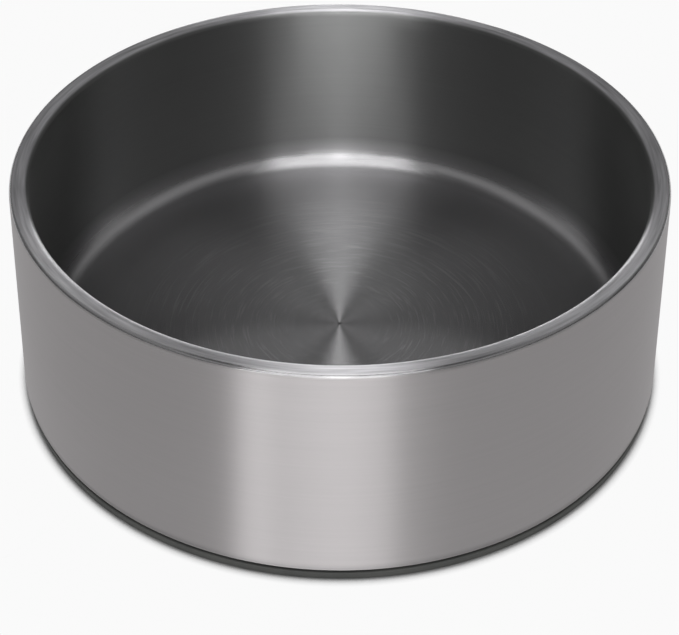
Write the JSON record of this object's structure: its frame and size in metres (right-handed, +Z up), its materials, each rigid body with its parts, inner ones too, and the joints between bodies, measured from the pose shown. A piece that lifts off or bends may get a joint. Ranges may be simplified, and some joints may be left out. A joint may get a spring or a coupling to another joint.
{
  "type": "dog bowl",
  "caption": "Round double-walled dog bowl in brushed stainless steel: flat food floor, tight cove, upright walls, a broad flat rim and a non-slip rubber foot ring.",
  "frame": {"origin": "centre of the foot ring's underside, on the surface that the bowl stands on", "axes": "+Z up along the bowl's axis; the bowl is a turned shape, so +X and +Y are any two square directions"},
  "size_m": [0.2496, 0.2496, 0.0885],
  "materials": {
    "inner_steel": "lathe-brushed, satin",
    "outer_steel": "brushed round the wall, satin",
    "base_steel": "plain mill finish",
    "rubber": "matt"
  },
  "bodies": {
    "root": {"inner_bowl": "inner_steel", "outer_shell": "outer_steel", "base_plate": "base_steel", "foot_ring": "rubber"}
  },
  "joints": []
}
